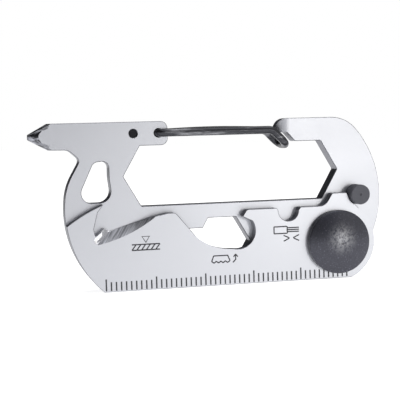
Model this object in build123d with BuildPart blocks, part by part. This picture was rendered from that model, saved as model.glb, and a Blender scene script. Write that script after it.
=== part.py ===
from build123d import *
import math
import os

# Pocket carabiner multi-tool: a thick frame plate with a cross-point driver, a spanner jaw and a
# wire gate, and a thinner lever plate with a ruler edge, turning on a post under a low domed knob.
# Millimetres. X runs along the tool from the driver tip to the heel, Z is up from the ruler edge,
# and -Y is the side of the lever and the knob. Outline points are (x, z).

os.makedirs("parts", exist_ok=True)

# ---- driving dimensions ----
overall_length = 72.4
body_length = 65.9
body_height = 33.2
frame_thickness = 3.3
lever_thickness = 2.0
plate_gap = 0.05            # between the lever and the frame
edge_break = 0.12           # small chamfer round both faces of the frame
lever_edge_break = 0.1      # and round the front face of the lever

left_inset = 7.1            # how far the rounded left end draws in at the ruler edge
left_bulge_share = 0.476    # height of its widest point, as a share of the body height
right_radius = 20.8
right_bulge_share = 0.515
right_corner_radius = 7.0

driver_height = 5.1
driver_point_angle = 29.0
driver_point_radius = 0.5
flute_web = 0.3             # half thickness of each driver wing at the tip
flute_slope = 0.33
throat_radius = 12.0
throat_rise = 5.5           # the throat's lower end above the widest point of the left end

jaw_across = 12.0           # spanner jaw, across flats
jaw_cover = 4.75            # steel above the jaw
jaw_left_wall = 11.8        # body's left end to the jaw's left point
jaw_right_wall = 9.4
arm_length = 20.95          # body's left end to the end of the upper arm
arm_end_radius = 1.4
nose_gap = 22.5             # jaw's mouth between the arm and the catch nose
nose_drop = 1.9             # nose tip below the top edge
nose_thickness = 2.85
nose_relief = 1.0           # how much each side of the nose is thinned at its tip
nose_relief_length = 2.9

large_spanner = 10.0        # stepped window behind the bottle opener, across flats
small_spanner = 6.0
small_spanner_length = 12.95

pivot_inset = 10.4          # post axis from the right end of the body
pivot_height = 7.6
post_radius = 3.0
post_fit = 0.05             # radial running clearance of the lever on the post
post_head_radius = 4.6
post_head_thickness = 1.0
post_socket_across = 2.5
stud_radius = 2.0
stud_length = 1.0
thread_gap = 0.02

stop_inset = 5.6            # stop pin axis from the right end of the body
stop_rise = 2.1             # and above the lever's top edge
stop_radius = 2.05
stop_length = 3.4           # how far the sleeve stands out of the frame
stop_core_radius = 1.25
stop_end_wall = 0.6
stop_dimple = 0.22
stop_seat_gap = 0.1         # between the sleeve and the lever's seat

lever_drop = 1.45           # lever's top edge below the jaw's floor
heel_radius = 8.15
bump_rise = 2.55
lever_left_drop = 1.75
tooth_inset = 7.35          # tooth point from the body's left end
tooth_rise = 2.2
opener_depth = 7.8
opener_reach = 21.9         # deepest point of the opener, left of the post
wire_notch_reach = 10.4
wire_notch_radius = 2.15
blade_bevel = 1.7           # width of the ground bevel on the lever's face
blade_land = 0.15           # thickness left at the cutting edge
groove_radius = 0.7         # round groove at the bottom of the cutter notch
groove_depth = 0.5
groove_angle = 44.2
groove_run = 4.0

wire_radius = 0.8
wire_hole_fit = 0.05
wire_side_gap = 0.15        # between each gate leg and the frame's face
wire_end_recess = 0.35      # wire ends stop this far inside the far face of their hole
wire_bend = 1.0
hook_bend = 2.0
loop_bend = 1.7
gate_drop = 2.32            # gate wire below the top edge
gate_hole_inset = 1.85      # gate's hole from the arm's end
gate_hole_spacing = 5.06
gate_bow = 0.4              # rear leg arches this far above the front one
gate_bow_radius = 160.0
hook_drop = 3.05
hook_reach = 3.0
hook_inset = 2.0            # hook behind the tip of the nose
gate_tail_gap = 0.1

thrust_washer_radius = 4.9
thrust_washer_thickness = 0.3
cone_washer_radius = 4.7
cone_washer_thickness = 0.3
cone_washer_height = 0.7
washer_gap = 0.02
knob_radius = 6.5
knob_rim = 1.3
knob_rise = 1.65            # height of the dome above the rim
knob_edge_radius = 0.4
knob_lift = 0.15            # gap between the knob's rim and the lever
insert_radius = 2.8
insert_length = 1.2
insert_gap = 0.02

# ---- positions along Y, front to back, centred on the whole stack ----
knob_stack = knob_lift + knob_rim + knob_rise
rear_stack = wire_side_gap + 2 * wire_radius
stack_depth = knob_stack + lever_thickness + plate_gap + frame_thickness + rear_stack
lever_front = -stack_depth / 2 + knob_stack
lever_rear = lever_front + lever_thickness
frame_front = lever_rear + plate_gap
frame_rear = frame_front + frame_thickness
frame_middle = (frame_front + frame_rear) / 2
gate_front_y = frame_front - wire_side_gap - wire_radius
gate_rear_y = frame_rear + wire_side_gap + wire_radius

# ---- positions along X, from the two ends, and up Z ----
x_tip = -overall_length / 2
x_right = overall_length / 2
x_left = x_right - body_length
driver_underside = body_height - driver_height
driver_axis = body_height - driver_height / 2
left_bulge_height = body_height * left_bulge_share
right_bulge_height = body_height * right_bulge_share
throat_height = left_bulge_height + throat_rise

jaw_roof = body_height - jaw_cover
jaw_floor = jaw_roof - jaw_across
jaw_height = (jaw_roof + jaw_floor) / 2
jaw_left = x_left + jaw_left_wall
jaw_right = x_right - jaw_right_wall
arm_end = x_left + arm_length
nose_tip = arm_end + nose_gap
nose_underside = body_height - nose_thickness

lever_top = jaw_floor - lever_drop
bump_top = lever_top + bump_rise
lever_left_height = lever_top - lever_left_drop
tooth = (x_left + tooth_inset, lever_top + tooth_rise)
pivot = (x_right - pivot_inset, pivot_height)
stop = (x_right - stop_inset, lever_top + stop_rise)
opener_x = pivot[0] - opener_reach
opener_floor = lever_top - opener_depth
wire_notch_x = pivot[0] - wire_notch_reach

gate_height = body_height - gate_drop
gate_pivot_x = arm_end - gate_hole_inset
gate_rear_x = gate_pivot_x - gate_hole_spacing
hook_x = nose_tip + hook_inset
gate_bend_x = hook_x - hook_reach
hook_height = gate_height - hook_drop

left_radius = (left_inset**2 + left_bulge_height**2) / (2 * left_inset)


def left_edge(height):
    """x of the rounded left end of both plates at a height."""
    rise = height - left_bulge_height
    return x_left + left_radius - math.sqrt(left_radius**2 - rise**2)


def right_edge(height):
    """x of the rounded right end of the frame at a height."""
    rise = height - right_bulge_height
    return x_right - right_radius + math.sqrt(right_radius**2 - rise**2)


def offset(point, dx, dz):
    """Outline point moved by dx and dz."""
    return (point[0] + dx, point[1] + dz)


def front_plane(y):
    """Sketch plane facing the front (-Y) at depth y; its local axes are X and Z."""
    return Plane.XZ.offset(-y)


def outline_edges(part, y):
    """Edges that lie in the face of a plate at depth y."""
    return part.edges().filter_by(lambda edge: abs(edge.bounding_box().min.Y - y) < 1e-3
                                  and abs(edge.bounding_box().max.Y - y) < 1e-3)


# ---- frame plate ----
hex_run = math.tan(math.radians(30))
jaw_corner_run = jaw_across / 2 * hex_run
throat = (left_edge(throat_height), throat_height)
throat_corner = (x_left + 3.4, driver_underside - 2.15)
driver_root = (x_left + 1.2, driver_underside - 0.15)

large_half = large_spanner / 2
small_half = small_spanner / 2
window_x = opener_x - 1.95
window_height = lever_top - 1.45 - large_half
large_side = 2 * large_half * hex_run
step_x = window_x - large_side / 2 - (large_half - small_half) * hex_run
small_spanner_end = window_x - small_spanner_length
small_corner_x = small_spanner_end + small_half * hex_run
window_corners = [
    (window_x + large_side, 0),
    (window_x + large_side / 2, large_half),
    (window_x - large_side / 2, large_half),
    (step_x, small_half),
    (small_corner_x, small_half),
    (small_spanner_end, 0),
]
window_lower = [(x, -z) for x, z in reversed(window_corners[1:-1])]
window_outline = [(x, window_height + z) for x, z in window_corners + window_lower]

hole_floor = tooth[1] + 0.25
hole_corners = [
    (x_left + 2.3, hole_floor),
    (x_left + 6.0, jaw_height + 2.95),
    (x_left + 9.0, jaw_height + 3.25),
    (x_left + 8.95, jaw_height - 0.15),
    (x_left + 9.5, hole_floor),
]

with BuildPart() as frame_plate:
    with BuildSketch(front_plane(frame_rear)) as frame_outline:
        with BuildLine():
            Line((left_edge(0), 0), (right_edge(0), 0))
            ThreePointArc((right_edge(0), 0), (x_right, right_bulge_height),
                          (right_edge(body_height), body_height))
            Line((right_edge(body_height), body_height), (nose_tip + 2.2, body_height))
            ThreePointArc((nose_tip + 2.2, body_height), (nose_tip + 0.65, body_height - 0.85),
                          (nose_tip, body_height - nose_drop))
            FilletPolyline(
                (nose_tip, body_height - nose_drop),
                (nose_tip + 1.25, nose_underside),
                (nose_tip + 2.35, nose_underside),
                (nose_tip + 4.05, jaw_roof),
                (jaw_right - jaw_corner_run, jaw_roof),
                (jaw_right, jaw_height),
                (jaw_right - jaw_corner_run, jaw_floor),
                (jaw_left + jaw_corner_run, jaw_floor),
                (jaw_left, jaw_height),
                (jaw_left + jaw_corner_run, jaw_roof),
                (arm_end, jaw_roof),
                (arm_end, body_height),
                (x_tip, body_height),
                (x_tip, driver_underside),
                driver_root,
                throat_corner,
                throat,
                radius=[0.3, 0.8, 0.8, 0.3, 0.4, 0.3, 0.3, 0.4, 0.3,
                        arm_end_radius, arm_end_radius, 0.3, 0.3, 2.0, 1.1],
            )
            ThreePointArc(throat, (x_left, left_bulge_height), (left_edge(0), 0))
        make_face()
        corners = frame_outline.vertices()
        fillet(corners.sort_by_distance((right_edge(body_height), body_height))[0],
               radius=right_corner_radius)
        corners = frame_outline.vertices()
        fillet(corners.sort_by_distance(throat)[0], radius=throat_radius)
        with BuildLine():
            FilletPolyline(*hole_corners, radius=[2.0, 1.4, 1.3, 8.0, 2.3], close=True)
        make_face(mode=Mode.SUBTRACT)
        with BuildLine():
            FilletPolyline(*window_outline, radius=0.25, close=True)
        make_face(mode=Mode.SUBTRACT)
        with Locations((gate_pivot_x, gate_height), (gate_rear_x, gate_height)):
            Circle(wire_radius + wire_hole_fit, mode=Mode.SUBTRACT)
        with Locations(pivot):
            Circle(post_radius, mode=Mode.SUBTRACT)
        with Locations(stop):
            Circle(stop_core_radius, mode=Mode.SUBTRACT)
    extrude(amount=frame_thickness)
    chamfer(outline_edges(frame_plate.part, frame_front), length=edge_break)
    chamfer(outline_edges(frame_plate.part, frame_rear), length=edge_break)

    # both sides of the catch nose are thinned towards its tip
    nose_end = nose_tip - 1
    nose_start = nose_tip + nose_relief_length
    relief_radius = (nose_relief_length**2 + nose_relief**2) / (2 * nose_relief)
    relief_reach = nose_start - nose_end
    relief_cut = relief_radius - math.sqrt(relief_radius**2 - relief_reach**2)
    for side, face_y in ((-1, frame_front), (1, frame_rear)):
        with BuildSketch(Plane.XY.offset(nose_underside - 0.4)):
            with BuildLine():
                TangentArc((nose_start, face_y), (nose_end, face_y - side * relief_cut), tangent=(-1, 0))
                Polyline((nose_end, face_y - side * relief_cut), (nose_end, face_y + side),
                         (nose_start, face_y + side), (nose_start, face_y))
            make_face()
        extrude(amount=body_height, mode=Mode.SUBTRACT)

    # the driver's point: everything outside a cone goes, then four flutes between the wings
    cone_spread = math.tan(math.radians(driver_point_angle))
    cone_start = x_tip - 0.5
    cone_reach = driver_height
    cone_length = (cone_reach - driver_point_radius) / cone_spread
    with BuildSketch(front_plane(frame_middle)):
        with BuildLine():
            Polyline(
                (cone_start, driver_axis + driver_point_radius - 0.5 * cone_spread),
                (x_tip + cone_length, driver_axis + cone_reach),
                (cone_start, driver_axis + cone_reach),
                close=True,
            )
        make_face()
    revolve(axis=Axis((x_tip, frame_middle, driver_axis), (1, 0, 0)), mode=Mode.SUBTRACT)
    flute_length = (frame_thickness / 2 - flute_web) / flute_slope
    for side in (-1, 1):
        for level in (-1, 1):
            for x in (x_tip - 0.5, x_tip + flute_length + 0.5):
                near = flute_web + flute_slope * (x - x_tip)
                size = driver_height - near
                with BuildSketch(Plane.YZ.offset(x)):
                    with Locations((frame_middle + side * (near + size / 2),
                                    driver_axis + level * (near + size / 2))):
                        Rectangle(size, size)
            loft(mode=Mode.SUBTRACT)
frame_plate.part.label = "frame_plate"
export_step(frame_plate.part, "parts/frame_plate.step")


# ---- lever plate ----
seat_radius = stop_radius + stop_seat_gap


def around(centre, radius, degrees):
    """Point on a circle in the X-Z plane."""
    angle = math.radians(degrees)
    return (centre[0] + radius * math.cos(angle), centre[1] + radius * math.sin(angle))


seat_start = around(stop, seat_radius, 190)
seat_middle = around(stop, seat_radius, 220)
seat_end = around(stop, seat_radius, 250)
heel_start = around(pivot, heel_radius, 52)
heel_end = offset(pivot, math.sqrt(heel_radius**2 - pivot_height**2), -pivot_height)
lever_left = (left_edge(lever_left_height), lever_left_height)
lever_waist_height = lever_left_height * 0.38
notch_rim = lever_top - 0.6
crest = (opener_x - 13.5, lever_top)
opener_tip = (opener_x + 3.85, lever_top - 2.35)
opener_bottom = (opener_x, opener_floor)
opener_ramp = offset(opener_bottom, -7.8, 2.75)
blade_end = offset(tooth, 1.3, -5.35)
blade_start = offset(crest, -2.2, -0.45)

with BuildPart() as lever_plate:
    with BuildSketch(front_plane(lever_rear)):
        with BuildLine():
            Line((left_edge(0), 0), heel_end)
            ThreePointArc(heel_end, around(pivot, heel_radius, 0), heel_start)
            Line(heel_start, seat_end)
            ThreePointArc(seat_end, seat_middle, seat_start)
            FilletPolyline(
                seat_start,
                (stop[0] - 2.6, bump_top),
                (stop[0] - 5.7, bump_top),
                (stop[0] - 7.3, lever_top),
                (wire_notch_x + wire_notch_radius + 0.45, lever_top),
                (wire_notch_x + wire_notch_radius, notch_rim),
                radius=[0.3, 0.5, 2.2, 0.3],
            )
            ThreePointArc((wire_notch_x + wire_notch_radius, notch_rim),
                          (wire_notch_x, notch_rim - wire_notch_radius),
                          (wire_notch_x - wire_notch_radius, notch_rim))
            FilletPolyline(
                (wire_notch_x - wire_notch_radius, notch_rim),
                (wire_notch_x - wire_notch_radius - 0.3, lever_top),
                (opener_x + 2.7, lever_top),
                (opener_x + 1.8, lever_top - 1.4),
                opener_tip,
                radius=[0.3, 0.9, 0.25],
            )
            ThreePointArc(opener_tip, offset(opener_bottom, 3.8, 1.6), opener_bottom)
            ThreePointArc(opener_bottom, offset(opener_bottom, -4.3, 0.7), opener_ramp)
            FilletPolyline(
                opener_ramp,
                offset(crest, 1.6, 0),
                crest,
                blade_start,
                blade_end,
                offset(tooth, 0.1, -4.65),
                offset(tooth, -1.65, -6.35),
                offset(tooth, -2.0, -4.7),
                offset(tooth, -1.15, -1.5),
                tooth,
                radius=[1.2, 1.0, 0.8, 0.25, 0.25, 0.25, 0.3, 1.2],
            )
            ThreePointArc(tooth, offset(tooth, -3.65, -1.7), lever_left)
            ThreePointArc(lever_left, (left_edge(lever_waist_height), lever_waist_height),
                          (left_edge(0), 0))
        make_face()
        with Locations(pivot):
            Circle(post_radius + post_fit, mode=Mode.SUBTRACT)
    extrude(amount=lever_thickness)
    # broken edge round the front face, but not on the heel or the opener's ramp
    heel_side = around(pivot, heel_radius, -10)
    ramp_side = offset(opener_bottom, -4.3, 0.7)
    lever_rim = outline_edges(lever_plate.part, lever_front)
    heel_edge = lever_rim.sort_by_distance((heel_side[0], lever_front, heel_side[1]))[0]
    ramp_edge = lever_rim.sort_by_distance((ramp_side[0], lever_front, ramp_side[1]))[0]
    chamfer([edge for edge in lever_rim if edge not in (heel_edge, ramp_edge)],
            length=lever_edge_break)

    # ground bevel of the cord cutter: its edge is left on the face that slides on the frame
    bevel_depth = lever_thickness - blade_land
    bevel_angle = math.degrees(math.atan2(blade_bevel, bevel_depth))
    bevel_left = offset(tooth, -1.25, -7.8)
    bevel_right = offset(crest, -2.1, -0.3)
    bevel_middle = ((bevel_left[0] + bevel_right[0]) / 2 + 0.55,
                    (bevel_left[1] + bevel_right[1]) / 2 - 0.6)
    bevel_roof = lever_top + 4
    with BuildSketch(front_plane(lever_front)):
        with BuildLine():
            ThreePointArc(bevel_left, bevel_middle, bevel_right)
            Polyline(bevel_right, (bevel_right[0], bevel_roof), (bevel_left[0] + 2, bevel_roof),
                     bevel_left)
        make_face()
    extrude(amount=-bevel_depth, taper=bevel_angle, mode=Mode.SUBTRACT)

    # round groove at the bottom of the notch
    groove_end = offset(tooth, -1.4, -6.95)
    groove_middle = around(groove_end, groove_run / 2, groove_angle)
    groove_y = lever_front + groove_depth - groove_radius
    groove_along = (math.cos(math.radians(groove_angle)), 0, math.sin(math.radians(groove_angle)))
    with Locations(Plane(origin=(groove_middle[0], groove_y, groove_middle[1]), z_dir=groove_along)):
        Cylinder(groove_radius, groove_run, mode=Mode.SUBTRACT)
    with Locations((groove_end[0], groove_y, groove_end[1])):
        Sphere(groove_radius, mode=Mode.SUBTRACT)
lever_plate.part.label = "lever_plate"
export_step(lever_plate.part, "parts/lever_plate.step")


# ---- wire gate: the moving loop, and the tail that stays in the rear hole ----
wire_depth = frame_thickness - wire_end_recess

with BuildPart() as wire_gate:
    with BuildLine() as gate_path:
        FilletPolyline(
            (gate_pivot_x, frame_front + wire_depth, gate_height),
            (gate_pivot_x, gate_front_y, gate_height),
            (gate_bend_x, gate_front_y, gate_height),
            (hook_x, gate_front_y, hook_height),
            (hook_x, gate_rear_y, hook_height),
            (gate_bend_x, gate_rear_y, gate_height),
            ((gate_bend_x + gate_pivot_x) / 2, gate_rear_y, gate_height + gate_bow),
            (gate_pivot_x, gate_rear_y, gate_height),
            radius=[wire_bend, hook_bend, loop_bend, loop_bend, hook_bend, gate_bow_radius],
        )
    with BuildSketch(Plane(origin=gate_path.line @ 0, z_dir=gate_path.line % 0)):
        Circle(wire_radius)
    sweep()
    with Locations((gate_pivot_x, gate_rear_y, gate_height)):
        Sphere(wire_radius)
wire_gate.part.label = "wire_gate"
export_step(wire_gate.part, "parts/wire_gate.step")

with BuildPart() as gate_tail:
    with BuildLine() as tail_path:
        FilletPolyline(
            (gate_rear_x, frame_rear - wire_depth, gate_height),
            (gate_rear_x, gate_rear_y, gate_height),
            (gate_pivot_x, gate_rear_y, gate_height),
            radius=wire_bend,
        )
    with BuildSketch(Plane(origin=tail_path.line @ 0, z_dir=tail_path.line % 0)):
        Circle(wire_radius)
    sweep()
    with Locations((gate_pivot_x, gate_rear_y, gate_height)):
        Sphere(wire_radius + gate_tail_gap, mode=Mode.SUBTRACT)
gate_tail.part.label = "gate_tail"
export_step(gate_tail.part, "parts/gate_tail.step")


# ---- pivot: post, washers, knob and its threaded insert ----
washer_seat = lever_front - washer_gap
cone_seat = washer_seat - thrust_washer_thickness - washer_gap
knob_floor = cone_seat - cone_washer_height - washer_gap
knob_rear = lever_front - knob_lift
dome_base = knob_rear - knob_rim

with BuildPart() as pivot_post:
    with BuildSketch(front_plane(frame_rear + post_head_thickness)):
        with Locations(pivot):
            Circle(post_head_radius)
    extrude(amount=post_head_thickness)
    chamfer(outline_edges(pivot_post.part, frame_rear + post_head_thickness), length=0.25)
    with BuildSketch(front_plane(frame_rear)):
        with Locations(pivot):
            Circle(post_radius)
    extrude(amount=frame_rear - knob_floor)
    with BuildSketch(front_plane(knob_floor)):
        with Locations(pivot):
            Circle(stud_radius)
    extrude(amount=stud_length)
    with BuildSketch(front_plane(frame_rear + post_head_thickness)):
        with Locations(pivot):
            RegularPolygon(post_socket_across / 2, 6, major_radius=False)
    extrude(amount=post_head_thickness * 1.8, mode=Mode.SUBTRACT)
pivot_post.part.label = "pivot_post"
export_step(pivot_post.part, "parts/pivot_post.step")

with BuildPart() as thrust_washer:
    with BuildSketch(front_plane(washer_seat)):
        with Locations(pivot):
            Circle(thrust_washer_radius)
            Circle(post_radius + post_fit, mode=Mode.SUBTRACT)
    extrude(amount=thrust_washer_thickness)
thrust_washer.part.label = "thrust_washer"
export_step(thrust_washer.part, "parts/thrust_washer.step")

with BuildPart() as cone_washer:
    cone_hole = pivot[0] + post_radius + post_fit
    cone_edge = pivot[0] + cone_washer_radius
    cone_rise = cone_washer_height - cone_washer_thickness
    with BuildSketch(Plane.XY.offset(pivot_height)):
        with BuildLine():
            Polyline(
                (cone_hole, cone_seat - cone_rise),
                (cone_edge, cone_seat),
                (cone_edge, cone_seat - cone_washer_thickness),
                (cone_hole, cone_seat - cone_washer_height),
                close=True,
            )
        make_face()
    revolve(axis=Axis((pivot[0], 0, pivot_height), (0, 1, 0)))
cone_washer.part.label = "cone_washer"
export_step(cone_washer.part, "parts/cone_washer.step")

knob_recess_radius = thrust_washer_radius + 0.25
knob_top = dome_base - knob_rise
insert_front = knob_floor - insert_length

with BuildPart() as pivot_knob:
    with BuildSketch(Plane.XY.offset(pivot_height)):
        with BuildLine():
            Polyline(
                (pivot[0], knob_top),
                (pivot[0], insert_front - insert_gap),
                (pivot[0] + insert_radius + insert_gap, insert_front - insert_gap),
                (pivot[0] + insert_radius + insert_gap, knob_floor),
                (pivot[0] + knob_recess_radius, knob_floor),
                (pivot[0] + knob_recess_radius, knob_rear),
                (pivot[0] + knob_radius - 0.2, knob_rear),
                (pivot[0] + knob_radius, knob_rear - 0.2),
                (pivot[0] + knob_radius, dome_base),
            )
            TangentArc((pivot[0], knob_top), (pivot[0] + knob_radius, dome_base), tangent=(1, 0))
        make_face()
    revolve(axis=Axis((pivot[0], 0, pivot_height), (0, 1, 0)))
    fillet(outline_edges(pivot_knob.part, dome_base), radius=knob_edge_radius)
pivot_knob.part.label = "pivot_knob"
export_step(pivot_knob.part, "parts/pivot_knob.step")

with BuildPart() as knob_insert:
    with BuildSketch(front_plane(knob_floor)):
        with Locations(pivot):
            Circle(insert_radius)
            Circle(stud_radius + thread_gap, mode=Mode.SUBTRACT)
    extrude(amount=insert_length)
knob_insert.part.label = "knob_insert"
export_step(knob_insert.part, "parts/knob_insert.step")


# ---- closed stop: a steel pin in the frame with a soft sleeve ----
core_length = frame_thickness + stop_length - stop_end_wall

with BuildPart() as stop_pin:
    with BuildSketch(front_plane(frame_rear)):
        with Locations(stop):
            Circle(stop_core_radius)
    extrude(amount=core_length)
stop_pin.part.label = "stop_pin"
export_step(stop_pin.part, "parts/stop_pin.step")

with BuildPart() as stop_sleeve:
    with BuildSketch(front_plane(frame_front)):
        with Locations(stop):
            Circle(stop_radius)
    extrude(amount=stop_length)
    chamfer(outline_edges(stop_sleeve.part, frame_front - stop_length), length=0.15)
    with Locations((stop[0], frame_front - stop_length, stop[1])):
        Sphere(stop_dimple, mode=Mode.SUBTRACT)
    with BuildSketch(front_plane(frame_front)):
        with Locations(stop):
            Circle(stop_core_radius)
    extrude(amount=stop_length - stop_end_wall, mode=Mode.SUBTRACT)
stop_sleeve.part.label = "stop_sleeve"
export_step(stop_sleeve.part, "parts/stop_sleeve.step")
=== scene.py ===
import math

import bpy
from mathutils import Matrix, Vector


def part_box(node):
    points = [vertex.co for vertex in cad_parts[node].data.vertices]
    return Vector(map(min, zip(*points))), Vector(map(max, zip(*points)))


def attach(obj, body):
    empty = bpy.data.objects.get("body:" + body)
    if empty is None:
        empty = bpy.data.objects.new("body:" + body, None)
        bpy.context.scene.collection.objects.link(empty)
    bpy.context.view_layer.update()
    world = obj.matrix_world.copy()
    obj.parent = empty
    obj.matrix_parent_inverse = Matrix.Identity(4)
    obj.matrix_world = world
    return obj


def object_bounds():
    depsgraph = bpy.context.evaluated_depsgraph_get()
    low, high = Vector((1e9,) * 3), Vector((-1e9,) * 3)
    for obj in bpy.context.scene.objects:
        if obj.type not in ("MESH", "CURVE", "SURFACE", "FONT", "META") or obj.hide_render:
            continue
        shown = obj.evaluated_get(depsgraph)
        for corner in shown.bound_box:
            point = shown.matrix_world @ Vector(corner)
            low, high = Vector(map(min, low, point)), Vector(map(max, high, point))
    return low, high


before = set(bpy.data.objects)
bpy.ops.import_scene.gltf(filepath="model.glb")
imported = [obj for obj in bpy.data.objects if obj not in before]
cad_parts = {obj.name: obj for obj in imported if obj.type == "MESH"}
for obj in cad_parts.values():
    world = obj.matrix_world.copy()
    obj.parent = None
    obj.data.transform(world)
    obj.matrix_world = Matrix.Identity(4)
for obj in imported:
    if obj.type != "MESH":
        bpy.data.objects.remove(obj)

# Looks for the carabiner multi-tool: blasted steel plates, a blackened spring-wire gate, a grained
# dark knob, and the marks on the lever's face. Metres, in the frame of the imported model.

packed_box = [list(corner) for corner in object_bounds()]
MM = 0.001

lever_low, lever_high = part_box("lever_plate")
plate_low, plate_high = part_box("frame_plate")
post_low, post_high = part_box("pivot_post")
knob_low, knob_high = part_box("pivot_knob")
pivot = (post_low + post_high) / 2
knob_centre = (knob_low + knob_high) / 2


# ---- shader bench: arithmetic on a surface value adds the nodes ----
class Reading:
    """A number, colour or vector that changes over a surface."""

    def __init__(self, bench, socket):
        self.bench = bench
        self.socket = socket

    def maths(self, operation, first, second=0.0):
        return self.bench.node("ShaderNodeMath", {"operation": operation}, {0: first, 1: second})

    def __add__(self, other):
        return self.maths("ADD", self, other)

    __radd__ = __add__

    def __sub__(self, other):
        return self.maths("SUBTRACT", self, other)

    def __rsub__(self, other):
        return self.maths("SUBTRACT", other, self)

    def __mul__(self, other):
        return self.maths("MULTIPLY", self, other)

    __rmul__ = __mul__

    def __truediv__(self, other):
        return self.maths("DIVIDE", self, other)

    def __abs__(self):
        return self.maths("ABSOLUTE", self)

    def __pow__(self, power):
        return self.maths("POWER", self, power)

    def at_least(self, other):
        return self.maths("MAXIMUM", self, other)

    def at_most(self, other):
        return self.maths("MINIMUM", self, other)


class Bench:
    """One node tree, for a finish or for the studio's surroundings."""

    def __init__(self, tree):
        self.tree = tree
        tree.nodes.clear()

    def node(self, kind, settings=None, inputs=None, output=0):
        made = self.tree.nodes.new(kind)
        for key, value in (settings or {}).items():
            if key == "stops":
                self.set_stops(made.color_ramp, value)
            else:
                setattr(made, key, value)
        for key, value in (inputs or {}).items():
            if isinstance(value, Reading):
                self.tree.links.new(value.socket, made.inputs[key])
            else:
                made.inputs[key].default_value = value
        return Reading(self, made.outputs[output])

    @staticmethod
    def set_stops(ramp, stops):
        while len(ramp.elements) < len(stops):
            ramp.elements.new(1.0)
        for element, (place, shade) in zip(ramp.elements, stops):
            element.position = place
            element.color = (*shade, 1.0)

    def place(self):
        return self.node("ShaderNodeTexCoord", output="Object")

    def facing(self):
        return self.node("ShaderNodeTexCoord", output="Normal")

    def axis(self, vector, name):
        return self.node("ShaderNodeSeparateXYZ", inputs={0: vector}, output="XYZ".index(name))

    def stretched(self, vector, scale):
        return self.node("ShaderNodeMapping", inputs={"Vector": vector, "Scale": scale})

    def noise(self, vector, scale, detail=2.0, rough=0.5):
        return self.node("ShaderNodeTexNoise", inputs={"Vector": vector, "Scale": scale,
                                                       "Detail": detail, "Roughness": rough})

    def step(self, value, low, high, start=0.0, end=1.0):
        """Smooth change from start to end as value goes from low to high."""
        return self.node("ShaderNodeMapRange", {"interpolation_type": "SMOOTHSTEP"},
                         {"Value": value, "From Min": low, "From Max": high,
                          "To Min": start, "To Max": end})

    def blend(self, factor, first, second):
        """Colour that goes from first to second with factor."""
        shades = [s if isinstance(s, Reading) else (*s, 1.0) for s in (first, second)]
        return self.node("ShaderNodeMix", {"data_type": "RGBA"},
                         {0: factor, 6: shades[0], 7: shades[1]}, output=2)

    def tint(self, colour, amount):
        """Colour made lighter or darker by a factor that changes over the surface."""
        return self.node("ShaderNodeVectorMath", {"operation": "SCALE"},
                         {0: colour, "Scale": amount})

    def bump(self, height, depth):
        return self.node("ShaderNodeBump", inputs={"Height": height, "Strength": 1.0,
                                                   "Distance": depth})


def finish_of(name, build, **fixed):
    """Material whose build(bench) gives the sockets that change; fixed ones are set directly."""
    material = bpy.data.materials.new(name)
    material.use_nodes = True
    bench = Bench(material.node_tree)
    sockets = {key.replace("_", " "): value for key, value in fixed.items()}
    sockets.update(build(bench))
    surface = bench.node("ShaderNodeBsdfPrincipled", inputs=sockets)
    out = bench.tree.nodes.new("ShaderNodeOutputMaterial")
    bench.tree.links.new(surface.socket, out.inputs["Surface"])
    return material


# ---- finishes ----
# A noise's scale is in features per metre: 9000 gives grain of about a tenth of a millimetre.
BLAST_GRAIN = 9000.0
HANDLING_CLOUD = 90.0
KNOB_GRAIN = 3800.0
FINE_GRAIN = 6000.0
# Radians per metre: the rings are about a tenth of a millimetre apart.
LATHE_RINGS = 60000.0
# Heights of the bumps, in metres.
STEEL_BUMP = 4e-6
WIRE_BUMP = 5e-6
RUBBER_BUMP = 6e-6
KNOB_BUMP = 7e-6

BLASTED = (0.568, 0.578, 0.612)
# Colour of the cut walls: partly sheared-edge finish, partly painted shade.
CUT_WALL_AND_SHADE = (0.20, 0.203, 0.225)
GROUND = (0.32, 0.325, 0.35)
# Near-white colour of the groove: a polished ground finish plus painted shine.
GROOVE_POLISH_AND_SHINE = (0.97, 0.975, 1.0)
BLACKENED = (0.050, 0.051, 0.058)
WORN_WIRE = (0.26, 0.262, 0.28)
# Painted shade for the wire inside the plate's holes.
HOLE_PAINTED_SHADE = (0.016, 0.016, 0.019)
DARK_KNOB = (0.082, 0.083, 0.102)
# Paler colour of the painted highlight on the knob.
KNOB_PAINTED_HIGHLIGHT = (0.38, 0.385, 0.40)
DARK_RUBBER = (0.085, 0.086, 0.103)
TURNED_STEEL = (0.6, 0.61, 0.63)
TEMPERED_STEEL = (0.42, 0.43, 0.47)
BRONZE = (0.7, 0.5, 0.28)
BRASS = (0.8, 0.62, 0.3)
LASER_BLACK = (0.05, 0.05, 0.056)


def plate_steel(bench, place, facing):
    """Blasted faces and darker cut walls, shared by both plates: colour, roughness and height. The
    walls' darkness is partly their sheared finish and partly painted shade.
    """
    flat = bench.step(abs(bench.axis(facing, "Y")), 0.80, 0.97)
    grain = bench.noise(place, BLAST_GRAIN, 3.0, 0.6)
    cloud = bench.noise(place, HANDLING_CLOUD, 3.0)
    shear = bench.noise(bench.stretched(place, (BLAST_GRAIN, 500.0, BLAST_GRAIN)), 1.0, 2.0)
    # Walls are darkened by their facing: partly their sheared finish, partly painted shade.
    wall_and_shade = bench.tint(CUT_WALL_AND_SHADE, 0.75 + 0.5 * shear)
    face = bench.tint(BLASTED, 0.97 + 0.04 * cloud + 0.05 * (grain - 0.5))
    colour = bench.blend(flat, wall_and_shade, face)
    rough = 0.39 + 0.06 * (cloud - 0.5) + 0.08 * (grain - 0.5) + 0.04 * (1 - flat)
    height = grain * flat + shear * (1 - flat)
    return colour, rough, height


DRIVER_CONE = 4.1 * MM
CONE_FADE = 0.4 * MM


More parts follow.
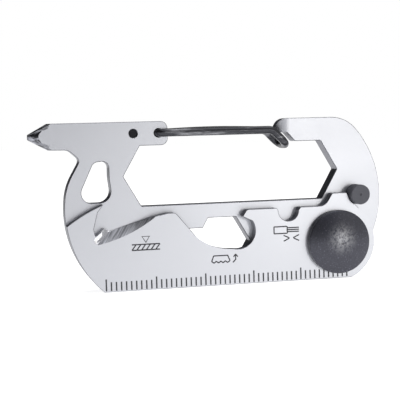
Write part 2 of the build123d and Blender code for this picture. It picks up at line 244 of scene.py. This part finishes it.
def frame_finish(bench):
    """Plate steel, with the slopes of the driver's cone painted dark as shade, broken by lighter
    grinding streaks.
    """
    place, facing = bench.place(), bench.facing()
    colour, rough, height = plate_steel(bench, place, facing)
    cone_end = plate_low.x + DRIVER_CONE
    tip = bench.step(bench.axis(place, "X"), cone_end, cone_end - CONE_FADE)
    leaning = bench.step(abs(bench.axis(facing, "Y")), 0.985, 0.93)
    lengthwise = bench.noise(bench.stretched(place, (200.0, 1500.0, 1500.0)), 1.0, 2.0)
    streak = bench.step(lengthwise, 0.42, 0.62)
    # Painted shade: the cone's slopes take a dark colour by their tilt, with lighter grinding
    # streaks through it.
    cone_shade_and_streaks = bench.tint(CUT_WALL_AND_SHADE, 0.35 + 1.7 * streak)
    colour = bench.blend(tip * leaning, colour, cone_shade_and_streaks)
    return {"Base Color": colour, "Roughness": rough, "Normal": bench.bump(height, STEEL_BUMP)}


groove_end = Vector((lever_low.x + 5.71 * MM, 0.0, lever_high.z - 7.30 * MM))
GROOVE_TURN = math.radians(44.2)
GROOVE_RUN = 4.0 * MM
# The groove's bright colour, partly a polished finish and partly painted shine, fades in between
# these distances from its line, and depths under the face.
GROOVE_RIM = (0.74 * MM, 0.66 * MM)
GROOVE_SKIN = (0.02 * MM, 0.10 * MM)
GRIND_TURN = math.radians(52)
BEVEL_LEFT = (-23.5 * MM, -22.5 * MM)
BEVEL_RIGHT = (-10.5 * MM, -11.5 * MM)


def along_and_across(first, second, angle):
    """The two distances along and across a direction turned by an angle."""
    along = first * math.cos(angle) + second * math.sin(angle)
    across = second * math.cos(angle) - first * math.sin(angle)
    return along, across


def lever_finish(bench):
    """Plate steel, with grind streaks on the cord cutter's bevel and a bright ground groove whose
    shine is partly a painted highlight.
    """
    place, facing = bench.place(), bench.facing()
    colour, rough, height = plate_steel(bench, place, facing)
    tilt = abs(bench.axis(facing, "Y"))
    depth = bench.axis(place, "Y")
    across = bench.axis(place, "X")
    height_up = bench.axis(place, "Z")
    near_edge = bench.step(across, *BEVEL_LEFT) * bench.step(across, *BEVEL_RIGHT)
    ground = bench.step(tilt, 0.40, 0.45) * bench.step(tilt, 0.90, 0.80) * near_edge
    along_grind, across_grind = along_and_across(across, height_up, GRIND_TURN)
    grind = bench.node("ShaderNodeCombineXYZ",
                       inputs={"X": across_grind * 4200.0, "Y": along_grind * 220.0})
    streaks = bench.noise(grind, 1.0, 2.0, 0.6)
    bevel = bench.tint(GROUND, 0.55 + 1.0 * bench.step(streaks, 0.30, 0.72))
    colour = bench.blend(ground, colour, bevel)
    along, aside = along_and_across(across - groove_end.x, height_up - groove_end.z, GROOVE_TURN)
    beyond = along - along.at_least(0.0).at_most(GROOVE_RUN)
    from_line = (beyond * beyond + aside * aside) ** 0.5
    skin_start, skin_end = GROOVE_SKIN
    # Painted highlight: below the face the groove is coloured near white, for its polish and the
    # shine of a concave groove.
    groove = (bench.step(from_line, *GROOVE_RIM)
              * bench.step(depth, lever_low.y + skin_start, lever_low.y + skin_end))
    colour = bench.blend(groove, colour, GROOVE_POLISH_AND_SHINE)
    ground = ground * (1 - groove)
    rough = rough * (1 - 0.25 * ground)
    height = height * (1 - ground) + streaks * ground
    return {"Base Color": colour, "Roughness": rough, "Normal": bench.bump(height, STEEL_BUMP)}


HOLE_EDGE = 0.05 * MM
HOLE_DEPTH = 0.25 * MM


def wire_finish(bench):
    """Drawn, blackened wire, worn in places, and painted darker as shade where it passes through
    the plate.
    """
    place = bench.place()
    drawn = bench.noise(bench.stretched(place, (260.0, 5200.0, 5200.0)), 1.0, 3.0, 0.6)
    rubs = bench.noise(bench.stretched(place, (160.0, 900.0, 900.0)), 1.0, 4.0, 0.6)
    colour = bench.blend(bench.step(rubs, 0.50, 0.72), BLACKENED, WORN_WIRE)
    # Painted shade: the wire is darkened to near black inside the plate's holes.
    depth = bench.axis(place, "Y")
    hole_shade = (bench.step(depth, plate_low.y + HOLE_EDGE, plate_low.y + HOLE_DEPTH)
               * bench.step(depth, plate_high.y - HOLE_EDGE, plate_high.y - HOLE_DEPTH))
    colour = bench.blend(hole_shade, colour, HOLE_PAINTED_SHADE)
    return {"Base Color": bench.tint(colour, 0.5 + 1.0 * drawn), "Roughness": 0.22 + 0.16 * drawn,
            "Normal": bench.bump(drawn, WIRE_BUMP)}


# Where the painted highlight sits on the knob: a paler patch centred this far above the dome's
# middle, fading out over this radius.
HIGHLIGHT_SHIFT = 0.8 * MM
HIGHLIGHT_RADIUS_MM = 4.0


def knob_finish(bench):
    """Grained dark dome with a painted highlight: a paler grainy patch just above the crown."""
    place = bench.place()
    grain = bench.noise(place, KNOB_GRAIN, 4.0, 0.7)
    pits = bench.node("ShaderNodeTexVoronoi", inputs={"Vector": place, "Scale": 3000.0})
    fleck = bench.step(bench.noise(place, 3200.0, 2.0, 0.6), 0.58, 0.70)
    colour = bench.tint(DARK_KNOB, 0.5 + 0.6 * grain + 0.7 * fleck)
    aside = (bench.axis(place, "X") - knob_centre.x) / MM
    above = (bench.axis(place, "Z") - knob_centre.z - HIGHLIGHT_SHIFT) / MM
    from_highlight = (aside * aside + above * above) ** 0.5
    # Painted highlight: the knob's colour is blended paler in broken patches near the crown.
    patches = bench.step(bench.noise(place, 1900.0, 3.0, 0.7), 0.34, 0.60)
    painted_highlight = bench.step(from_highlight, HIGHLIGHT_RADIUS_MM, 0.0) * patches
    colour = bench.blend(0.66 * painted_highlight, colour, KNOB_PAINTED_HIGHLIGHT)
    height = grain + 0.5 * pits
    return {"Base Color": colour, "Roughness": 0.30 + 0.08 * grain,
            "Normal": bench.bump(height, KNOB_BUMP)}


def sleeve_finish(bench):
    place = bench.place()
    grain = bench.noise(place, FINE_GRAIN, 3.0, 0.6)
    return {"Base Color": bench.tint(DARK_RUBBER, 0.85 + 0.3 * grain),
            "Roughness": 0.52 + 0.12 * grain, "Normal": bench.bump(grain, RUBBER_BUMP)}


def turned(colour, centre):
    """Lathe-turned metal: fine rings round an axis along Y."""
    def build(bench):
        place = bench.place()
        moved = bench.node("ShaderNodeMapping", {"vector_type": "POINT"},
                           {"Vector": place, "Location": (-centre.x, 0.0, -centre.z)})
        radius = bench.node("ShaderNodeVectorMath", {"operation": "LENGTH"},
                            {0: bench.stretched(moved, (1.0, 0.0, 1.0))}, output="Value")
        wave = bench.node("ShaderNodeMath", {"operation": "SINE"}, {0: radius * LATHE_RINGS})
        rings = wave * 0.5 + 0.5
        grain = bench.noise(place, FINE_GRAIN, 2.0)
        return {"Base Color": bench.tint(colour, 0.85 + 0.15 * rings + 0.15 * grain),
                "Roughness": 0.28 + 0.12 * grain,
                "Normal": bench.bump(rings * 0.6 + grain * 0.4, STEEL_BUMP)}
    return build


def mark_finish(bench):
    place = bench.place()
    burn = bench.noise(place, 5000.0, 3.0, 0.6)
    return {"Base Color": bench.tint(LASER_BLACK, 0.7 + 0.7 * burn),
            "Roughness": 0.62 + 0.15 * burn, "Normal": bench.bump(burn, STEEL_BUMP)}


stop_low, stop_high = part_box("stop_pin")
stop_axis = (stop_low + stop_high) / 2

finishes = {
    "frame_plate": finish_of("blasted_frame_steel", frame_finish, Metallic=1.0),
    "lever_plate": finish_of("blasted_lever_steel", lever_finish, Metallic=1.0),
    "wire_gate": finish_of("blackened_spring_wire", wire_finish, Metallic=0.85),
    "pivot_knob": finish_of("grained_dark_knob", knob_finish, Metallic=0.7),
    "stop_sleeve": finish_of("dark_stop_rubber", sleeve_finish),
    "pivot_post": finish_of("turned_post_steel", turned(TURNED_STEEL, pivot), Metallic=1.0),
    "thrust_washer": finish_of("plain_bronze", turned(BRONZE, pivot), Metallic=1.0),
    "cone_washer": finish_of("tempered_steel", turned(TEMPERED_STEEL, pivot), Metallic=1.0),
    "knob_insert": finish_of("turned_brass", turned(BRASS, pivot), Metallic=1.0),
    "stop_pin": finish_of("turned_pin_steel", turned(TURNED_STEEL, stop_axis), Metallic=1.0),
}
finishes["gate_tail"] = finishes["wire_gate"]
for name, material in finishes.items():
    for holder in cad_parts[name].material_slots:
        holder.material = material

lever_mark = finish_of("laser_mark", mark_finish, Metallic=0.2)


# ---- marks on the lever's face ----
MARK_PROUD = 0.012 * MM
STROKE_WIDTH = 0.25 * MM
RULER_ZERO_ASIDE = 48.09 * MM
RULER_EDGE_GAP = 0.26 * MM
face_y = lever_low.y


class Tree:
    """A Geometry Nodes tree with named inputs, built node by node."""

    def __init__(self, name, inputs):
        self.group = bpy.data.node_groups.new(name, "GeometryNodeTree")
        face = self.group.interface
        face.new_socket("Geometry", in_out="INPUT", socket_type="NodeSocketGeometry")
        for label, (kind, value) in inputs.items():
            socket = face.new_socket(label, in_out="INPUT", socket_type=kind)
            socket.default_value = value
        face.new_socket("Geometry", in_out="OUTPUT", socket_type="NodeSocketGeometry")
        self.given = self.group.nodes.new("NodeGroupInput").outputs

    def node(self, kind, settings=None, inputs=None, output=0):
        made = self.group.nodes.new(kind)
        for key, value in (settings or {}).items():
            setattr(made, key, value)
        for key, value in (inputs or {}).items():
            if isinstance(value, bpy.types.NodeSocket):
                self.group.links.new(value, made.inputs[key])
            else:
                made.inputs[key].default_value = value
        return made.outputs[output]

    def maths(self, operation, first, second=0.0):
        return self.node("ShaderNodeMath", {"operation": operation}, {0: first, 1: second})

    def vector(self, x=0.0, y=0.0, z=0.0):
        return self.node("ShaderNodeCombineXYZ", inputs={"X": x, "Y": y, "Z": z})

    def close(self, geometry, material):
        """Ends the tree with plain geometry in one material."""
        real = self.node("GeometryNodeRealizeInstances", inputs={"Geometry": geometry})
        painted = self.node("GeometryNodeSetMaterial",
                            inputs={"Geometry": real, "Material": material})
        group_output = self.group.nodes.new("NodeGroupOutput")
        self.group.links.new(painted, group_output.inputs["Geometry"])


def run_tree(name, tree, start, values, body):
    """Runs a tree on an object and keeps the result as a plain mesh piece on a body."""
    host = bpy.data.objects.new(name + "_host", start)
    bpy.context.scene.collection.objects.link(host)
    modifier = host.modifiers.new("make", "NODES")
    modifier.node_group = tree.group
    for item in tree.group.interface.items_tree:
        if item.in_out == "INPUT" and item.name in values:
            modifier[item.identifier] = values[item.name]
    graph = bpy.context.evaluated_depsgraph_get()
    mesh = bpy.data.meshes.new_from_object(host.evaluated_get(graph))
    host.modifiers.remove(modifier)
    bpy.data.objects.remove(host)
    piece = bpy.data.objects.new(name, mesh)
    mesh.name = name
    bpy.context.scene.collection.objects.link(piece)
    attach(piece, body)


def ruler_tree():
    tree = Tree("ruler_ticks", {
        "Ticks": ("NodeSocketInt", 51),
        "Spacing": ("NodeSocketFloat", MM),
        "Long Every": ("NodeSocketInt", 10),
        "Long": ("NodeSocketFloat", 2.35 * MM),
        "Short": ("NodeSocketFloat", 1.75 * MM),
        "Width": ("NodeSocketFloat", 0.29 * MM),
        "Thickness": ("NodeSocketFloat", 2 * MARK_PROUD),
        "Zero": ("NodeSocketVector", (0.0, 0.0, 0.0)),
    })
    given = tree.given
    row = tree.node("GeometryNodeMeshLine", {"mode": "OFFSET"},
                    {"Count": given["Ticks"], "Start Location": given["Zero"],
                     "Offset": tree.vector(x=given["Spacing"])})
    index = tree.node("GeometryNodeInputIndex")
    place = tree.maths("MODULO", index, given["Long Every"])
    is_long = tree.maths("LESS_THAN", place, 0.5)
    extra = tree.maths("MULTIPLY", is_long, tree.maths("SUBTRACT", given["Long"], given["Short"]))
    length = tree.maths("ADD", given["Short"], extra)
    bar = tree.node("GeometryNodeMeshCube",
                    inputs={"Size": tree.vector(given["Width"], given["Thickness"], 1.0)})
    raised = tree.node("GeometryNodeTransform",
                       inputs={"Geometry": bar, "Translation": (0.0, 0.0, 0.5)})
    ticks = tree.node("GeometryNodeInstanceOnPoints",
                      inputs={"Points": row, "Instance": raised,
                              "Scale": tree.vector(1.0, 1.0, length)})
    tree.close(ticks, lever_mark)
    return tree


def line_tree():
    tree = Tree("marked_lines", {
        "Width": ("NodeSocketFloat", 0.2 * MM),
        "Thickness": ("NodeSocketFloat", 2 * MARK_PROUD),
        "Corner": ("NodeSocketFloat", 0.15 * MM),
        "Face": ("NodeSocketFloat", 0.0),
    })
    given = tree.given
    soft = tree.node("GeometryNodeFilletCurve", {"mode": "POLY"},
                     {"Curve": given["Geometry"], "Count": 3, "Radius": given["Corner"]})
    nib = tree.node("GeometryNodeCurvePrimitiveCircle", inputs={"Resolution": 8, "Radius": 0.5})
    wide = tree.node("GeometryNodeTransform", inputs={
        "Geometry": nib, "Scale": tree.vector(given["Width"], given["Width"], 1.0)})
    cord = tree.node("GeometryNodeCurveToMesh", inputs={"Curve": soft, "Profile Curve": wide,
                                                        "Fill Caps": True})
    squeeze = tree.maths("DIVIDE", given["Thickness"], given["Width"])
    flat = tree.node("GeometryNodeTransform", inputs={
        "Geometry": cord, "Scale": tree.vector(1.0, squeeze, 1.0),
        "Translation": tree.vector(y=given["Face"])})
    tree.close(flat, lever_mark)
    return tree


def strokes(name, lines, closed=()):
    """Poly curve in the plane of the face from lists of (x, z) in millimetres."""
    curve = bpy.data.curves.new(name, "CURVE")
    curve.dimensions = "3D"
    for number, line in enumerate(lines):
        spline = curve.splines.new("POLY")
        spline.points.add(len(line) - 1)
        for point, (x, z) in zip(spline.points, line):
            point.co = (x * MM, 0.0, z * MM, 1.0)
        spline.use_cyclic_u = number in closed
    return curve


marks = line_tree()


def mark_lever(name, lines, closed, corner):
    """Strokes on the lever's face, with their corners rounded by corner millimetres."""
    run_tree(name, marks, strokes(name + "_lines", lines, closed),
             {"Width": STROKE_WIDTH, "Face": face_y, "Corner": corner * MM}, "lever")


ruler_zero = (pivot.x - RULER_ZERO_ASIDE, face_y, lever_low.z + RULER_EDGE_GAP)
run_tree("ruler_ticks", ruler_tree(), bpy.data.meshes.new("ticks_start"), {"Zero": ruler_zero},
         "lever")

# twisted cord with a blade point coming down on it
cord_left, cord_right, cord_low, cord_high = -17.0, -11.4, 8.0, 9.1
CORD_TURNS = 6
CORD_TURN_STEP = 0.95
CORD_TURN_LEAN = 0.85
BLADE_HALF = 0.75
BLADE_TIP = 0.35
BLADE_TOP = 1.55
cord_middle = (cord_left + cord_right) / 2
cord_lines = [[(cord_left, cord_low), (cord_right, cord_low)],
              [(cord_left, cord_high), (cord_right, cord_high)]]
for cord_turn in range(CORD_TURNS):
    x = cord_left + cord_turn * CORD_TURN_STEP
    cord_lines.append([(x, cord_low), (x + CORD_TURN_LEAN, cord_high)])
cord_lines.append([(cord_middle - BLADE_HALF, cord_high + BLADE_TOP),
                   (cord_middle, cord_high + BLADE_TIP),
                   (cord_middle + BLADE_HALF, cord_high + BLADE_TOP)])
mark_lever("cord_cutter_mark", cord_lines, closed=(len(cord_lines) - 1,), corner=0.0)

# crown cap seen from the side, with a bent arrow beside it pointing up
CAP_CENTRE = (0.9, 5.0)
cap = [(-1.9, -0.1), (-1.45, 1.0), (1.45, 1.0), (1.9, -0.1), (1.4, -0.45), (0.95, -0.1),
       (0.45, -0.45), (0.0, -0.1), (-0.45, -0.45), (-0.95, -0.1), (-1.4, -0.45)]
arrow = [(2.5, -0.5), (3.1, 0.1), (3.1, 1.0)]
arrow_head = [(2.65, 0.6), (3.1, 1.15), (3.55, 0.6)]
cap_lines = [[(CAP_CENTRE[0] + x, CAP_CENTRE[1] + z) for x, z in shape]
             for shape in (cap, arrow, arrow_head)]
mark_lever("cap_lifter_mark", cap_lines, closed=(0,), corner=0.12)

# stranded wire with a stripped end, over a pair of jaws
wire_lines = [
    [(12.2, 9.8), (12.2, 11.2), (15.0, 11.2), (15.0, 9.8)],
    [(15.0, 10.1), (17.5, 10.1)],
    [(15.0, 10.5), (17.5, 10.5)],
    [(15.0, 10.9), (17.5, 10.9)],
    [(14.2, 8.2), (15.5, 8.8), (14.2, 9.4)],
    [(17.5, 8.2), (16.2, 8.8), (17.5, 9.4)],
]
mark_lever("wire_cutter_mark", wire_lines, closed=(0,), corner=0.1)


# ---- floor, light and camera ----
FLOOR_REACH = 6.0
FLOOR_GLOW = 0.86
WHITE = (1.0, 1.0, 1.0)


def floor_finish(bench):
    speckle = bench.noise(bench.place(), 40.0, 3.0)
    return {"Base Color": bench.tint((0.86, 0.86, 0.87), 0.99 + 0.02 * speckle)}


floor_mesh = bpy.data.meshes.new("floor")
floor_level = packed_box[0][2]
floor_corners = [(x * FLOOR_REACH, y * FLOOR_REACH, floor_level)
                 for x, y in ((-1, -1), (1, -1), (1, 1), (-1, 1))]
floor_mesh.from_pydata(floor_corners, [], [(0, 1, 2, 3)])
floor = bpy.data.objects.new("floor", floor_mesh)
floor_mesh.materials.append(finish_of("pale_floor", floor_finish, Roughness=0.9,
                                      Emission_Color=(*WHITE, 1.0),
                                      Emission_Strength=FLOOR_GLOW))
bpy.context.scene.collection.objects.link(floor)

world = bpy.data.worlds.new("studio")
bpy.context.scene.world = world
world.use_nodes = True
air = Bench(world.node_tree)
direction = air.node("ShaderNodeTexCoord", output="Generated")
side = air.axis(direction, "X")
depth = air.axis(direction, "Y")
LEFT_TO_RIGHT = [
    (0.0, (0.05, 0.05, 0.05)),
    (0.30, (0.08, 0.08, 0.08)),
    (0.44, (0.125, 0.13, 0.16)),
    (0.53, (0.20, 0.21, 0.25)),
    (0.62, (0.48, 0.48, 0.48)),
    (0.72, (0.82, 0.80, 0.77)),
    (1.0, (0.7, 0.7, 0.7)),
]
sides = air.node("ShaderNodeValToRGB", {"stops": LEFT_TO_RIGHT}, {"Fac": side * 0.5 + 0.5})
behind = air.step(depth, -0.1, 0.35, 1.0, 0.30)
seen = air.node("ShaderNodeLightPath", output="Is Camera Ray")
studio = air.tint(sides, behind)
shade = air.blend(seen, studio, WHITE)
background = air.node("ShaderNodeBackground", inputs={"Color": shade, "Strength": 1.0})
world_out = air.tree.nodes.new("ShaderNodeOutputWorld")
air.tree.links.new(background.socket, world_out.inputs["Surface"])


def softbox(name, place, aim, size, radiance, colour=WHITE):
    """Rectangular lamp of a given size, aimed at a point and unseen by the camera."""
    lamp = bpy.data.lights.new(name, "AREA")
    lamp.color = colour
    lamp.shape = "RECTANGLE"
    lamp.size, lamp.size_y = size
    lamp.energy = radiance * math.pi * size[0] * size[1]
    holder = bpy.data.objects.new(name, lamp)
    bpy.context.scene.collection.objects.link(holder)
    holder.location = place
    holder.rotation_euler = (Vector(aim) - Vector(place)).to_track_quat("-Z", "Y").to_euler()
    holder.visible_camera = False


WARM_WHITE = (1.0, 0.985, 0.95)
middle_of_tool = Vector((0.0, 0.0, 0.016))
softbox("key_softbox", (0.19, -0.475, 0.04), middle_of_tool, size=(0.07, 0.07), radiance=10.8,
        colour=WARM_WHITE)
softbox("top_softbox", (0.05, 0.0, 0.60), middle_of_tool, size=(0.6, 0.6), radiance=1.3)

camera_data = bpy.data.cameras.new("camera")
camera_data.sensor_width = 36.0
camera_data.lens = 87.633
camera_data.clip_start = 0.01
camera = bpy.data.objects.new("camera", camera_data)
bpy.context.scene.collection.objects.link(camera)
bpy.context.scene.camera = camera

STAND_OFF = 194.46 * MM
turn, rise, roll = math.radians(13.289), math.radians(3.506), math.radians(-1.671)
target = Vector((-2.789 * MM, lever_low.y + 1.0 * MM, 17.2707 * MM))
back = Vector((-math.sin(turn) * math.cos(rise), -math.cos(turn) * math.cos(rise), math.sin(rise)))
level_right = (-back).cross(Vector((0, 0, 1))).normalized()
level_up = level_right.cross(-back)
right = math.cos(roll) * level_right + math.sin(roll) * level_up
up = -math.sin(roll) * level_right + math.cos(roll) * level_up
stand = target + STAND_OFF * back
camera.matrix_world = Matrix(((right.x, up.x, back.x, stand.x),
                              (right.y, up.y, back.y, stand.y),
                              (right.z, up.z, back.z, stand.z),
                              (0, 0, 0, 1)))

bpy.context.scene.view_settings.view_transform = "Standard"
bpy.context.scene.view_settings.look = "None"
